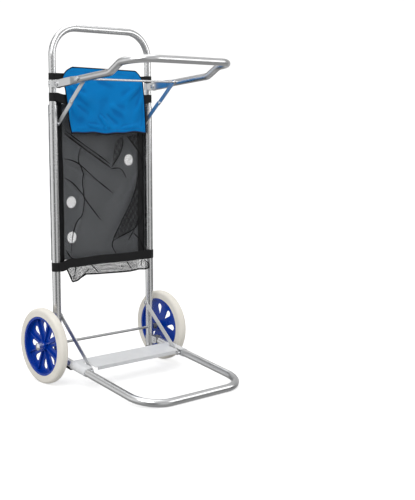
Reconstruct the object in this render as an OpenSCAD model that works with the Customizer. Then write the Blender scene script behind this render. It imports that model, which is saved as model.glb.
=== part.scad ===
// Folding beach cart: two upright rails on a pair of wheels, a folding luggage
// platform at the floor, a folding arm at hand height and a table panel behind.
// The cart stands as it is pulled: +Z is up, the platform points along -Y.

/* [Frame] */
// Distance between the two rails, centre to centre
rail_spacing = 347; // [320:1:420]
// Height of the handle bar's centre above the floor
handle_height = 1020; // [990:5:1200]
// Outside diameter of the handle tube
handle_d = 20; // [18:0.5:24]
// Wall of the handle tube
handle_wall = 1.3; // [1:0.1:2.5]
// Bend radius of the handle's two corners
handle_corner = 80; // [50:5:120]
// Height of the rails' lower ends
rail_bottom = 52; // [30:1:56]
// Height of the rails' upper ends
rail_top = 800; // [780:5:802]
// Wall of the rails
rail_wall = 1.9; // [1.5:0.1:2.5]
// Length of the handle tube that sits inside each rail
handle_insert = 45; // [20:5:48]

/* [Wheels] */
// Outside diameter of the tyres
wheel_d = 220; // [210:2:260]
// Width of the tyres
tyre_w = 26; // [24:1:36]
// Diameter of the rims, where the tyres sit
rim_d = 173; // [160:1:178]
// Distance from each rail's centre line out to the middle of its wheel
wheel_out = 47.5; // [44.5:0.5:96.5]
// Diameter of the axle
axle_d = 8; // [6:0.5:10]
// Number of openings in each rim
rim_holes = 8; // [6:1:10]

/* [Upper arm] */
// Height of the arm's hinge
arm_hinge_z = 860; // [856:1:870]
// Distance of the arm's hinge in front of the rails
arm_hinge_out = 26; // [25:0.5:34]
// Outside diameter of the arm tube
arm_d = 20; // [18:0.5:20]
// Wall of the arm tube
arm_wall = 1.3; // [1:0.1:2]
// Reach of the arm, from its hinge to its front bar
arm_reach = 364; // [350:2:400]
// Rise of the arm's front bar above its hinge
arm_rise = 56; // [54:1:64]
// Distance from the hinge to the arm's first bend
arm_bend_at = 246; // [230:2:256]
// Upward slope of the arm's straight part
arm_slope = 5.4; // [4:0.1:6]
// Bend radius of the arm's front corners
arm_corner = 64; // [50:2:66]
// Distance from the hinge to the cross rod
rod_at = 112; // [106:1:130]
// Diameter of the cross rod
rod_d = 6; // [5:0.5:8]

/* [Platform] */
// Reach of the platform in front of the rails
platform_reach = 430; // [400:2:440]
// Height of the platform's hinge
platform_hinge_z = 72; // [68:1:78]
// Outside diameter of the platform tube
platform_d = 22; // [20:0.5:24]
// Wall of the platform tube
platform_wall = 1.3; // [1:0.1:2]
// Distance from each rail's centre line out to the platform's side tube
platform_out = 7.5; // [6.5:0.5:9.5]
// Bend radius of the platform's front corners
platform_corner = 80; // [60:2:84]
// Start of the load plate, measured from the hinge
plate_start = 62; // [50:1:80]
// Length of the load plate along the platform
plate_length = 71; // [66:1:90]
// Thickness of the load plate
plate_t = 1.6; // [1:0.1:2]

/* [Braces] */
// Height of the knee braces' lower studs
knee_stud_z = 748; // [740:1:752]
// Height of the platform braces' studs
hook_stud_z = 188; // [176:1:200]
// Distance of the platform braces' feet in front of the rails
brace_foot_out = 150; // [146:1:156]
// Width of the flat bars
bar_w = 13; // [11:0.5:14]

/* [Fabric and panel] */
// Height of the table panel's lower edge
panel_bottom = 352; // [340:2:370]
// Height of the table panel's upper edge
panel_top = 806; // [790:2:806]
// Thickness of the table panel
panel_t = 4.5; // [3:0.5:8]
// Diameter of the cup openings
cup_d = 34; // [30:1:50]
// Middle of the upper band
upper_band_z = 821; // [821:1:830]
// Width of the upper band
upper_band_w = 26; // [20:1:26]
// Middle of the lower band
lower_band_z = 335; // [320:1:335]
// Width of the lower band
lower_band_w = 30; // [24:1:32]
// Lowest point of the net bag
net_bottom = 284; // [270:2:310]
// Height of the front bag's lower edge
bag_bottom = 722; // [700:2:740]
// Height of the front bag's upper edge
bag_top = 908; // [900:2:914]
// Half of the front bag's width
bag_half_w = 151; // [130:1:151]

/* [Hidden] */
$fn = 64;

// Clearances
fit = 0.05;          // radial gap of a pin or shaft that turns
seat = 0.03;         // radial gap of a fixed pin, plug or clamp
cloth_gap = 0.3;     // gap between webbing and what it lies on
web_t = 1.7;         // thickness of webbing and bands

// Derived sizes of the frame
rail_x = rail_spacing / 2;
handle_r = handle_d / 2;
rail_bore = handle_r + 0.1;
rail_r = rail_bore + rail_wall;
wheel_r = wheel_d / 2;
axle_z = wheel_r;
axle_r = axle_d / 2;
platform_r = platform_d / 2;
rail_y = (platform_reach + platform_r - wheel_r) / 2;

// Hinges
pin_r = 3;
pin_head_r = 5.2;
pin_head_t = 1.6;
ear_t = 1.6;
clamp_t = 1.55;
arm_r = arm_d / 2;
arm_flat_w = 13;
arm_flat_h = 24;
arm_flat_len = 70;
arm_taper_len = 25;
arm_ear_gap = arm_flat_w / 2 + 0.3;
arm_bracket_h = 18;
hinge_bracket_h = 2 * platform_r;
platform_hinge_out = rail_r + platform_r + plate_t + 1.9;
platform_x = rail_x + platform_out;
knuckle_w = platform_d - 2;
knuckle_ear_gap = knuckle_w / 2 + 0.4;
knuckle_neck = 14;
knuckle_spigot = 25;

// Upper arm's side view: distance forward of the hinge, height above it
arm_bend_rise = arm_bend_at * tan(arm_slope);
arm_level_at = arm_reach - arm_corner - 9;
arm_level_rise = arm_rise - (arm_reach - arm_level_at) * tan(arm_slope);
arm_side_bend = 40;
arm_dir = [0, -cos(arm_slope), sin(arm_slope)];
arm_hinge = [rail_x, -arm_hinge_out, arm_hinge_z];
rod_r = rod_d / 2;
rod_pos = arm_hinge + rod_at * arm_dir;

// Platform's slope, from its hinge down to its front bar on the floor
platform_fall = platform_hinge_z - platform_r;
platform_slope = atan(platform_fall / (platform_reach - platform_hinge_out));
platform_hinge = [platform_x, -platform_hinge_out, platform_hinge_z];
brace_foot_at = (brace_foot_out - platform_hinge_out) / cos(platform_slope);
brace_foot_z = platform_hinge_z - brace_foot_at * sin(platform_slope);

// Flat bars lie in three planes inside the rails
bar_r = bar_w / 2;
link_t = 2;
link_gap = 0.5;
upper_link_x = rail_x - arm_r - link_t - 2.5;
lower_link_x = upper_link_x - link_gap - link_t;
brace_t = 3;
brace_x = rail_x - rail_r - 1 - brace_t;
hook_stud_r = 4;
hook_r = 9;
knee_stud_pos = [0, 0, knee_stud_z];
knee_pos = ([0, rod_pos[1], rod_pos[2]] + knee_stud_pos) / 2;
brace_foot_pos = [0, -brace_foot_out, brace_foot_z];
hook_stud_pos = [0, 0, hook_stud_z];

// Wheel
wheel_x = rail_x + wheel_out;
rim_r = rim_d / 2;
rim_ring_t = 6.5;
rim_half_w = tyre_w / 2 - 1.5;
web_back = -7;
web_plate_t = 4;
hub_r = 14;
bush_r = axle_r + fit + 2.5;
hub_in = rail_x + rail_r + 13.5;
hub_out = wheel_x + 8;
cap_r = 11;
cap_len = 16;
tear_r = 9.5;
tear_at = 60;
tear_tip = 30;

// Panel
cup_x = 107;
cup_near = 59;
cup_far = 163;
panel_mid = (panel_bottom + panel_top) / 2;

function unit(v) = v / norm(v);

// Moves children from the rails' plane to the cart's own origin
module in_frame() translate([0, rail_y, 0]) children();

// Draws children on both sides of the cart
module both_sides() {
  children();
  mirror([1, 0, 0]) children();
}

// Stands children at a, with their Z axis towards b
module along(a, b) {
  z = unit(b - a);
  x = unit(cross(abs(z[2]) < 0.9 ? [0, 0, 1] : [1, 0, 0], z));
  y = cross(z, x);
  multmatrix([
    [x[0], y[0], z[0], a[0]],
    [x[1], y[1], z[1], a[1]],
    [x[2], y[2], z[2], a[2]],
    [0, 0, 0, 1]
  ]) children();
}

module ring_2d(r_out, r_in) {
  difference() {
    circle(r_out);
    circle(r_in);
  }
}

module pipe(a, b, r_out, r_in) {
  along(a, b) linear_extrude(norm(b - a)) ring_2d(r_out, r_in);
}

// One bend of a tube at corner p, coming from p0 and going on to p1
module elbow(p0, p, p1, bend, r_out, r_in) {
  d1 = unit(p - p0);
  d2 = unit(p1 - p);
  turn = acos(d1 * d2);
  inward = unit(d2 - (d1 * d2) * d1);
  centre = p - d1 * bend * tan(turn / 2) + inward * bend;
  x = -inward;
  z = cross(x, d1);
  multmatrix([
    [x[0], d1[0], z[0], centre[0]],
    [x[1], d1[1], z[1], centre[1]],
    [x[2], d1[2], z[2], centre[2]],
    [0, 0, 0, 1]
  ]) rotate_extrude(angle = turn, $fn = 96) translate([bend, 0]) ring_2d(r_out, r_in);
}

// Length that a bend takes from each of its two straights
function bend_cut(p0, p, p1, bend) = bend * tan(acos(unit(p - p0) * unit(p1 - p)) / 2);

// A tube through points, with one bend radius for each inner point. A bend swells
// by a hair, and the straights reach a little way into it.
module bent_tube(points, bends, r_out, r_in) {
  swell = 0.05;
  lap = 1;
  last = len(points) - 1;
  for (i = [0 : last - 1]) {
    dir = unit(points[i + 1] - points[i]);
    cut_a = i == 0 ? 0 : bend_cut(points[i - 1], points[i], points[i + 1], bends[i - 1]) - lap;
    cut_b = i == last - 1 ? 0 : bend_cut(points[i], points[i + 1], points[i + 2], bends[i]) - lap;
    pipe(points[i] + dir * cut_a, points[i + 1] - dir * cut_b, r_out, r_in);
  }
  for (i = [1 : last - 1]) {
    elbow(points[i - 1], points[i], points[i + 1], bends[i - 1], r_out + swell, r_in - swell);
  }
}

// A round bar or hole along X, from x0 to x1, at y and z
module rod_x(x0, x1, y, z, r) {
  translate([x0, y, z]) rotate([0, 90, 0]) cylinder(r = r, h = x1 - x0);
}

// A low domed head along X: its flat face at x0, its height h may be negative
module rivet_head(x0, y, z, r, h) {
  dome = (r * r + h * h) / (2 * abs(h));
  translate([x0, y, z]) rotate([0, h > 0 ? 90 : -90, 0]) intersection() {
    translate([0, 0, abs(h) - dome]) sphere(dome);
    cylinder(r = r, h = abs(h));
  }
}

// A flat piece in a plane across X, from its outline in Y and Z
module side_plate(x0, t) {
  translate([x0, 0, 0]) rotate([90, 0, 90]) linear_extrude(t) children();
}

function yz(p) = [p[1], p[2]];

// Outline of a flat bar with round ends at a and b. The ends stand a hair proud of
// the straight edges.
module bar_2d(a, b, r) {
  edge = r - 0.1;
  translate(a) circle(r);
  translate(b) circle(r);
  translate(a) rotate(atan2(b[1] - a[1], b[0] - a[0])) translate([0, -edge]) square([norm(b - a), 2 * edge]);
}

// ---------------------------------------------------------------- frame

module handle_tube() in_frame() color("silver") {
  foot_z = rail_top - handle_insert;
  bent_tube(
    [[-rail_x, 0, foot_z], [-rail_x, 0, handle_height],
     [rail_x, 0, handle_height], [rail_x, 0, foot_z]],
    [handle_corner, handle_corner], handle_r, handle_r - handle_wall);
}

// Grooved rail, drilled for the axle and for the studs of the braces
module rail() {
  groove_w = 1.4;
  groove_deep = 0.7;
  difference() {
    translate([rail_x, 0, rail_bottom]) linear_extrude(rail_top - rail_bottom) difference() {
      ring_2d(rail_r, rail_bore);
      for (a = [-125, -55, 20, 160]) rotate(a) translate([rail_r - groove_deep, -groove_w / 2])
        square([groove_deep + 1, groove_w]);
    }
    rod_x(rail_x - rail_r - 1, rail_x + rail_r + 1, 0, axle_z, axle_r + seat);
    rod_x(rail_x - rail_r - 1, rail_x, 0, knee_stud_z, pin_r + seat);
    rod_x(rail_x - rail_r - 1, rail_x, 0, hook_stud_z, hook_stud_r + seat);
  }
}

module rail_right() in_frame() color("silver") rail();

module rail_left() in_frame() color("silver") mirror([1, 0, 0]) rail();

module rail_end_plugs() in_frame() color("dimgray") both_sides() {
  flange = 4;
  spigot = 18;
  translate([rail_x, 0, rail_bottom - flange]) cylinder(r = rail_r, h = flange);
  translate([rail_x, 0, rail_bottom]) cylinder(r = rail_bore - seat, h = spigot);
}

// Domed rivets that hold the handle tube in the rails and the hinge clamps on it
module rail_rivets() in_frame() color("gainsboro") both_sides() {
  rivet_r = 3.5;
  rivet_head(rail_x + rail_r, 0, rail_top - handle_insert / 2, rivet_r, 1.8);
  rivet_head(rail_x + handle_r + clamp_t + fit, 0, arm_hinge_z, rivet_r, 1.8);
  rivet_head(rail_x + rail_r + clamp_t + fit, 0, platform_hinge_z, rivet_r, 1.8);
}

// ---------------------------------------------------------------- axle

module axle() in_frame() color("silver") {
  rod_x(-hub_out - cap_len + 4, hub_out + cap_len - 4, 0, axle_z, axle_r);
}

module wheel_spacers() in_frame() color("dimgray") both_sides() difference() {
  rod_x(rail_x + rail_r + 0.1, hub_in - 0.2, 0, axle_z, 8);
  rod_x(rail_x, hub_in + 1, 0, axle_z, axle_r + seat);
}

module axle_caps() in_frame() color("silver") both_sides() difference() {
  union() {
    rod_x(hub_out + 0.2, hub_out + cap_len - 2, 0, axle_z, cap_r);
    rivet_head(hub_out + cap_len - 2, 0, axle_z, cap_r, 3);
  }
  rod_x(hub_out - 1, hub_out + cap_len - 3.9, 0, axle_z, axle_r + seat);
}

// ---------------------------------------------------------------- hinge brackets

// A clamp round an upright tube at x, with height h and middle z
module tube_clamp(x, r_in, z, h) {
  translate([x, 0, z - h / 2]) difference() {
    cylinder(r = r_in + clamp_t, h = h);
    translate([0, 0, -1]) cylinder(r = r_in, h = h + 2);
  }
}

// One ear, from y0 forward to the pin at out, with a round end
module ear(x0, y0, out, z, h) {
  translate([x0, -out, z - h / 2]) cube([ear_t, out + y0, h]);
  rod_x(x0, x0 + ear_t, -out, z, h / 2);
}

module upper_hinge_bracket() difference() {
  union() {
    tube_clamp(rail_x, handle_r + seat, arm_hinge_z, arm_bracket_h);
    for (x0 = [rail_x - arm_ear_gap - ear_t, rail_x + arm_ear_gap]) {
      ear(x0, -sqrt(pow(handle_r + clamp_t / 2, 2) - pow(arm_ear_gap + ear_t / 2, 2)),
          arm_hinge_out, arm_hinge_z, arm_bracket_h);
    }
  }
  translate([rail_x, 0, arm_hinge_z - arm_bracket_h]) cylinder(r = handle_r + seat, h = 2 * arm_bracket_h);
  rod_x(rail_x - rail_r - 5, rail_x + rail_r + 5, -arm_hinge_out, arm_hinge_z, pin_r + seat);
}

module upper_hinge_bracket_right() in_frame() color("lightgray") upper_hinge_bracket();

module upper_hinge_bracket_left() in_frame() color("lightgray") mirror([1, 0, 0]) upper_hinge_bracket();

// A shaft with a head at both ends, whose heads bear on faces at x0 and x1
module headed_pin(x0, x1, y, z) {
  rod_x(x0, x1, y, z, pin_r);
  rivet_head(x0, y, z, pin_head_r, -pin_head_t);
  rivet_head(x1, y, z, pin_head_r, pin_head_t);
}

module arm_pivot_pins() in_frame() color("gray") both_sides() {
  half = arm_ear_gap + ear_t + fit;
  headed_pin(rail_x - half, rail_x + half, -arm_hinge_out, arm_hinge_z);
}

module lower_hinge_bracket() difference() {
  base_front = rail_r + clamp_t;
  ear_in = platform_x - knuckle_ear_gap - ear_t;
  union() {
    tube_clamp(rail_x, rail_r + seat, platform_hinge_z, hinge_bracket_h);
    translate([ear_in, -base_front, platform_hinge_z - hinge_bracket_h / 2])
      cube([2 * (knuckle_ear_gap + ear_t), clamp_t - seat, hinge_bracket_h]);
    for (x0 = [ear_in, platform_x + knuckle_ear_gap]) {
      ear(x0, -base_front + clamp_t / 2, platform_hinge_out, platform_hinge_z, hinge_bracket_h);
    }
  }
  rod_x(ear_in - 1, platform_x + knuckle_ear_gap + ear_t + 1,
        -platform_hinge_out, platform_hinge_z, pin_r + seat);
}

module lower_hinge_bracket_right() in_frame() color("lightgray") lower_hinge_bracket();

module lower_hinge_bracket_left() in_frame() color("lightgray") mirror([1, 0, 0]) lower_hinge_bracket();

module platform_pivot_pins() in_frame() color("gray") both_sides() {
  half = knuckle_ear_gap + ear_t + fit;
  headed_pin(platform_x - half, platform_x + half, -platform_hinge_out, platform_hinge_z);
}

// ---------------------------------------------------------------- studs on the rails

// A stud from inside the rail's wall, with a shoulder, a shaft through the bar and a head
module rail_stud(z, r, bar_x, bar_t) {
  shoulder_gap = 0.2;
  rod_x(bar_x - shoulder_gap, rail_x - 7, 0, z, r);
  rod_x(bar_x + bar_t + shoulder_gap, rail_x - rail_r - 0.1, 0, z, r + 2);
  rivet_head(bar_x - shoulder_gap, 0, z, r + 2.4, -1.5);
}

module knee_studs() in_frame() color("gray") both_sides()
  rail_stud(knee_stud_z, pin_r, lower_link_x, link_t);

module hook_studs() in_frame() color("gray") both_sides()
  rail_stud(hook_stud_z, hook_stud_r, brace_x, brace_t);

// ---------------------------------------------------------------- panel, bands and bags

module table_panel() in_frame() color("lightgray") {
  back = rail_r + cloth_gap;
  lip_t = 2;
  lip_from = 5;
  difference() {
    union() {
      translate([-rail_x, back, panel_bottom]) cube([2 * rail_x, panel_t, panel_top - panel_bottom]);
      both_sides() translate([rail_x, 0, panel_bottom]) intersection() {
        linear_extrude(panel_top - panel_bottom) ring_2d(back + lip_t, back);
        translate([0, lip_from, 0]) cube([back + lip_t, back, panel_top - panel_bottom]);
      }
    }
    for (side = [-1, 1], up = [cup_near, cup_far])
      translate([side * cup_x, back - 1, panel_mid + side * up])
        rotate([-90, 0, 0]) cylinder(d = cup_d, h = panel_t + 2);
  }
}

// A band of webbing across the front, looped round both uprights of radius r
module looped_band(r, z, w) {
  r_in = r + cloth_gap;
  both_sides() translate([rail_x, 0, z - w / 2]) linear_extrude(w) ring_2d(r_in + web_t, r_in);
  translate([-rail_x, -r_in - web_t, z - w / 2]) cube([2 * rail_x, web_t, w]);
}

module upper_band() in_frame() color("black") looped_band(handle_r, upper_band_z, upper_band_w);

module lower_band() in_frame() color("black") looped_band(rail_r, lower_band_z, lower_band_w);

module side_tapes() in_frame() color("black") both_sides() {
  tape_w = 30;
  tape_y = 8;
  tape_edge = rail_x - sqrt(pow(rail_r + cloth_gap + web_t, 2) - tape_y * tape_y) - cloth_gap;
  tape_bottom = lower_band_z - lower_band_w / 2;
  tape_top = upper_band_z + upper_band_w / 2;
  translate([tape_edge - tape_w, tape_y, tape_bottom]) cube([tape_w, 1.6, tape_top - tape_bottom]);
}

module net_bag() in_frame() color("dimgray") {
  net_half_w = rail_x - 23.5;
  net_t = 6;
  net_top = upper_band_z + upper_band_w / 2 - 4;
  droop_half_w = net_half_w - 20;
  translate([0, -handle_r, 0]) rotate([90, 0, 0]) mirror([0, 0, 1]) linear_extrude(net_t) polygon([
    [-net_half_w, net_top], [-net_half_w, net_bottom + 46], [-droop_half_w, net_bottom],
    [droop_half_w, net_bottom + 14], [net_half_w, net_bottom + 46], [net_half_w, net_top]
  ]);
}

// Webbing loops with a tab that reaches in to the front bag
module bag_straps() in_frame() color("black") both_sides() {
  strap_z = 882;
  strap_w = 22;
  r_in = handle_r + cloth_gap;
  translate([rail_x, 0, strap_z - strap_w / 2]) linear_extrude(strap_w) ring_2d(r_in + web_t, r_in);
  translate([bag_half_w - 10, -r_in - web_t, strap_z - strap_w / 2])
    cube([rail_x - bag_half_w + 10, web_t, strap_w]);
}

module front_bag() in_frame() color("royalblue") {
  bag_t = 7;
  bag_back = handle_r + 2 * cloth_gap + web_t;
  corner = 24;
  translate([0, -bag_back, 0]) rotate([90, 0, 0]) linear_extrude(bag_t) polygon([
    [-bag_half_w + 14, bag_bottom], [bag_half_w, bag_bottom], [bag_half_w, bag_top - 34],
    [bag_half_w - corner, bag_top], [-bag_half_w + corner, bag_top], [-bag_half_w, bag_top - 34]
  ]);
}

// ---------------------------------------------------------------- upper arm

function arm_point(side, out, rise) = [side * rail_x, -arm_hinge_out - out, arm_hinge_z + rise];

// A round tube of radius r, pressed flat to width w
module flattened_2d(w, r) {
  intersection() {
    circle(r);
    square([w, 2 * r + 1], center = true);
  }
}

// The flattened stretch from z0 and the taper that brings it back to round at z2
module flattened_run(w, r, round_r, z0, z1, z2) {
  translate([0, 0, z0]) linear_extrude(z1 - z0) flattened_2d(w, r);
  intersection() {
    translate([0, 0, z1]) cylinder(r1 = r, r2 = round_r, h = z2 - z1);
    rotate([90, 0, 0]) translate([0, 0, -r - 1]) linear_extrude(2 * r + 2)
      polygon([[-w / 2, z1], [w / 2, z1], [round_r, z2], [-round_r, z2]]);
  }
}

// The flattened end of one side of the arm, with its eye at the hinge
module arm_end() {
  eye_r = arm_flat_h / 2;
  taper_end = arm_flat_len + arm_taper_len;
  translate(arm_hinge) rotate([90 - arm_slope, 0, 0]) difference() {
    union() {
      rod_x(-arm_flat_w / 2, arm_flat_w / 2, 0, 0, eye_r);
      flattened_run(arm_flat_w, eye_r, arm_r + 0.05, 0, arm_flat_len, taper_end);
    }
    flattened_run(arm_flat_w - 2 * arm_wall, eye_r - arm_wall, arm_r - arm_wall - 0.05,
                  eye_r + 4, arm_flat_len, taper_end + 0.01);
    rod_x(-arm_flat_w, arm_flat_w, 0, 0, pin_r + fit);
  }
}

module upper_arm_tube() in_frame() color("silver") {
  start = arm_flat_len + arm_taper_len - 1;
  start_out = start * cos(arm_slope);
  start_rise = start * sin(arm_slope);
  difference() {
    bent_tube(
      [arm_point(-1, start_out, start_rise), arm_point(-1, arm_bend_at, arm_bend_rise),
       arm_point(-1, arm_level_at, arm_level_rise), arm_point(-1, arm_reach, arm_rise),
       arm_point(1, arm_reach, arm_rise), arm_point(1, arm_level_at, arm_level_rise),
       arm_point(1, arm_bend_at, arm_bend_rise), arm_point(1, start_out, start_rise)],
      [arm_side_bend, arm_side_bend, arm_corner, arm_corner, arm_side_bend, arm_side_bend],
      arm_r, arm_r - arm_wall);
    rod_x(-rail_x - 2 * arm_r, rail_x + 2 * arm_r, rod_pos[1], rod_pos[2], rod_r + seat);
  }
  both_sides() arm_end();
}

module cross_rod() in_frame() color("silver") {
  rod_x(-rail_x - arm_r - 5, rail_x + arm_r + 5, rod_pos[1], rod_pos[2], rod_r);
}

module cross_rod_nuts() in_frame() color("gray") both_sides() difference() {
  nut_r = 5.8;
  translate([rail_x + arm_r + 0.1, rod_pos[1], rod_pos[2]]) rotate([0, 90, 0]) cylinder(r = nut_r, h = 4, $fn = 6);
  rod_x(rail_x, rail_x + arm_r + 6, rod_pos[1], rod_pos[2], rod_r + seat);
}

// Sleeves that hold the upper links beside the arm, and collars on their other side
module rod_spacers() in_frame() color("gray") both_sides() difference() {
  union() {
    rod_x(upper_link_x + link_t + 0.15, rail_x - arm_r - 0.1, rod_pos[1], rod_pos[2], rod_r + 2.2);
    rod_x(upper_link_x - 2, upper_link_x - 0.15, rod_pos[1], rod_pos[2], rod_r + 2.2);
  }
  rod_x(upper_link_x - 3, rail_x, rod_pos[1], rod_pos[2], rod_r + seat);
}

// ---------------------------------------------------------------- knee braces

module upper_link() side_plate(upper_link_x, link_t) difference() {
  bar_2d(yz(rod_pos), yz(knee_pos), bar_r);
  translate(yz(rod_pos)) circle(rod_r + fit);
}

module lower_link() side_plate(lower_link_x, link_t) difference() {
  bar_2d(yz(knee_pos), yz(knee_stud_pos), bar_r);
  translate(yz(knee_stud_pos)) circle(pin_r + fit);
}

module upper_link_right() in_frame() color("lightgray") upper_link();

module upper_link_left() in_frame() color("lightgray") mirror([1, 0, 0]) upper_link();

module lower_link_right() in_frame() color("lightgray") lower_link();

module lower_link_left() in_frame() color("lightgray") mirror([1, 0, 0]) lower_link();

// The knee's rivet shows a head outside the upper link and a washer inside the lower one
module knee_rivet() rivet_head(upper_link_x + link_t + 0.02, knee_pos[1], knee_pos[2], 4, 1.4);

module knee_washer() rivet_head(lower_link_x - 0.02, knee_pos[1], knee_pos[2], 4, -1.4);

module knee_rivet_right() in_frame() color("gray") knee_rivet();

module knee_rivet_left() in_frame() color("gray") mirror([1, 0, 0]) knee_rivet();

module knee_washer_right() in_frame() color("gray") knee_washer();

module knee_washer_left() in_frame() color("gray") mirror([1, 0, 0]) knee_washer();

// ---------------------------------------------------------------- platform

// Places children at the platform's hinge, with Z along the right side tube
module on_platform() translate(platform_hinge) rotate([90 + platform_slope, 0, 0]) children();

module platform_tube() in_frame() color("silver") {
  dir = [0, -cos(platform_slope), -sin(platform_slope)];
  rear_r = platform_hinge + knuckle_neck * dir;
  front_r = [platform_x, -platform_reach, platform_r];
  rear_l = [-rear_r[0], rear_r[1], rear_r[2]];
  front_l = [-front_r[0], front_r[1], front_r[2]];
  difference() {
    bent_tube([rear_l, front_l, front_r, rear_r], [platform_corner, platform_corner],
              platform_r, platform_r - platform_wall);
    both_sides() rod_x(platform_x - 2 * platform_r, platform_x - 4,
                       -brace_foot_out, brace_foot_z, pin_r + seat);
  }
}

// Plugs in the ends of the platform tube, each with a flattened eye for its hinge pin
module platform_knuckles() in_frame() color("gray") both_sides() on_platform() difference() {
  union() {
    rod_x(-knuckle_w / 2, knuckle_w / 2, 0, 0, platform_r);
    flattened_run(knuckle_w, platform_r, platform_r, 0, platform_r + 0.5, knuckle_neck - 0.1);
    cylinder(r = platform_r - platform_wall - seat, h = knuckle_neck + knuckle_spigot);
  }
  rod_x(-platform_d, platform_d, 0, 0, pin_r + fit);
}

// A plate across the tubes with a sleeve round each of them and a slot for each brace
module load_plate() in_frame() color("gainsboro") difference() {
  sleeve_r = platform_r + 0.15;
  slot_half = 5;
  lip = 9;
  lip_half_w = brace_x - 12;
  union() {
    both_sides() on_platform() translate([0, 0, plate_start]) difference() {
      cylinder(r = sleeve_r + plate_t, h = plate_length);
      translate([0, 0, -1]) cylinder(r = sleeve_r, h = plate_length + 2);
    }
    on_platform() {
      translate([-2 * platform_x, sleeve_r, plate_start]) cube([2 * platform_x, plate_t, plate_length]);
      for (z0 = [plate_start, plate_start + plate_length - plate_t])
        translate([-platform_x - lip_half_w, sleeve_r - lip, z0]) cube([2 * lip_half_w, lip + 1, plate_t]);
    }
  }
  both_sides() on_platform() {
    translate([brace_x + brace_t / 2 - platform_x - slot_half, sleeve_r - lip, brace_foot_at - 38])
      cube([2 * slot_half, 2 * lip, plate_length]);
    rod_x(-platform_r - 6, 0, 0, brace_foot_at, pin_r + 4);
  }
}

module rubber_bumpers() in_frame() color("black") both_sides() on_platform() difference() {
  pad_w = 12;
  pad_deep = 5.5;
  pad_start = 20;
  pad_len = 40;
  translate([-pad_w / 2, -platform_r - pad_deep, pad_start]) cube([pad_w, pad_deep + 3, pad_len]);
  cylinder(r = platform_r + seat, h = pad_start + pad_len + 1);
}

module brace_foot_pins() in_frame() color("gray") both_sides() {
  wall_x = platform_x - platform_r;
  rod_x(brace_x - 0.2, wall_x + 5, -brace_foot_out, brace_foot_z, pin_r);
  rod_x(brace_x + brace_t + 0.2, wall_x - 0.1, -brace_foot_out, brace_foot_z, pin_r + 2.5);
  rivet_head(brace_x - 0.2, -brace_foot_out, brace_foot_z, pin_head_r, -1.5);
}

// A flat bar pinned on the platform, whose hook drops over the rail's stud
module platform_brace() {
  mouth = hook_stud_r + 0.4;
  bar_angle = atan2(hook_stud_z - brace_foot_z, brace_foot_out);
  mouth_turn = bar_angle - 108;
  side_plate(brace_x, brace_t) difference() {
    union() {
      bar_2d(yz(brace_foot_pos), yz(hook_stud_pos), bar_r);
      translate(yz(hook_stud_pos)) circle(hook_r);
    }
    translate(yz(brace_foot_pos)) circle(pin_r + fit);
    translate(yz(hook_stud_pos)) circle(mouth);
    translate(yz(hook_stud_pos)) rotate(mouth_turn) translate([0, 0.1 - mouth]) square([2 * hook_r, 2 * mouth - 0.2]);
  }
}

module platform_brace_right() in_frame() color("lightgray") platform_brace();

module platform_brace_left() in_frame() color("lightgray") mirror([1, 0, 0]) platform_brace();

// ---------------------------------------------------------------- wheels

// Places children at the right wheel's middle, with Z along the axle, outwards
module on_wheel() translate([wheel_x, 0, axle_z]) rotate([0, 90, 0]) children();

// Opening with a round outer end and a point towards the hub. The sides end a hair
// inside the round.
module teardrop_2d() {
  half_angle = asin(tear_r / (tear_at - tear_tip));
  side_r = tear_r - 0.1;
  side_x = tear_at - side_r * sin(half_angle);
  side_y = side_r * cos(half_angle);
  translate([tear_at, 0]) circle(tear_r);
  polygon([[tear_tip, 0], [side_x, -side_y], [side_x, side_y]]);
}

module wheel_rim() on_wheel() difference() {
  rib_t = 2;
  rib_h = 5;
  union() {
    translate([0, 0, -rim_half_w]) linear_extrude(2 * rim_half_w) ring_2d(rim_r - seat, rim_r - rim_ring_t);
    translate([0, 0, web_back]) linear_extrude(web_plate_t) difference() {
      circle(rim_r - 1);
      for (i = [0 : rim_holes - 1]) rotate(i * 360 / rim_holes) teardrop_2d();
    }
    for (i = [0 : rim_holes - 1]) rotate((i + 0.5) * 360 / rim_holes)
      translate([hub_r - 2, -rib_t / 2, web_back + 1]) cube([rim_r - hub_r - 2, rib_t, web_plate_t + rib_h]);
    translate([0, 0, hub_in - wheel_x]) cylinder(r = hub_r, h = hub_out - hub_in);
  }
  translate([0, 0, hub_in - wheel_x - 1]) cylinder(r = bush_r + seat, h = hub_out - hub_in + 2);
}

module tyre() on_wheel() rotate_extrude($fn = 96) {
  shoulder = 9;
  side = tyre_w / 2;
  translate([rim_r, -side]) square([wheel_r - shoulder - rim_r, tyre_w]);
  translate([rim_r, -side + shoulder]) square([wheel_r - rim_r, tyre_w - 2 * shoulder]);
  for (s = [-1, 1]) translate([wheel_r - shoulder, s * (side - shoulder)]) circle(shoulder);
}

module hub_bush() on_wheel() translate([0, 0, hub_in - wheel_x]) linear_extrude(hub_out - hub_in)
  ring_2d(bush_r, axle_r + fit);

module wheel_rim_right() in_frame() color("mediumblue") wheel_rim();

module wheel_rim_left() in_frame() color("mediumblue") mirror([1, 0, 0]) wheel_rim();

module tyre_right() in_frame() color("ivory") tyre();

module tyre_left() in_frame() color("ivory") mirror([1, 0, 0]) tyre();

module hub_bush_right() in_frame() color("gray") hub_bush();

module hub_bush_left() in_frame() color("gray") mirror([1, 0, 0]) hub_bush();

// ---------------------------------------------------------------- nodes

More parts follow.
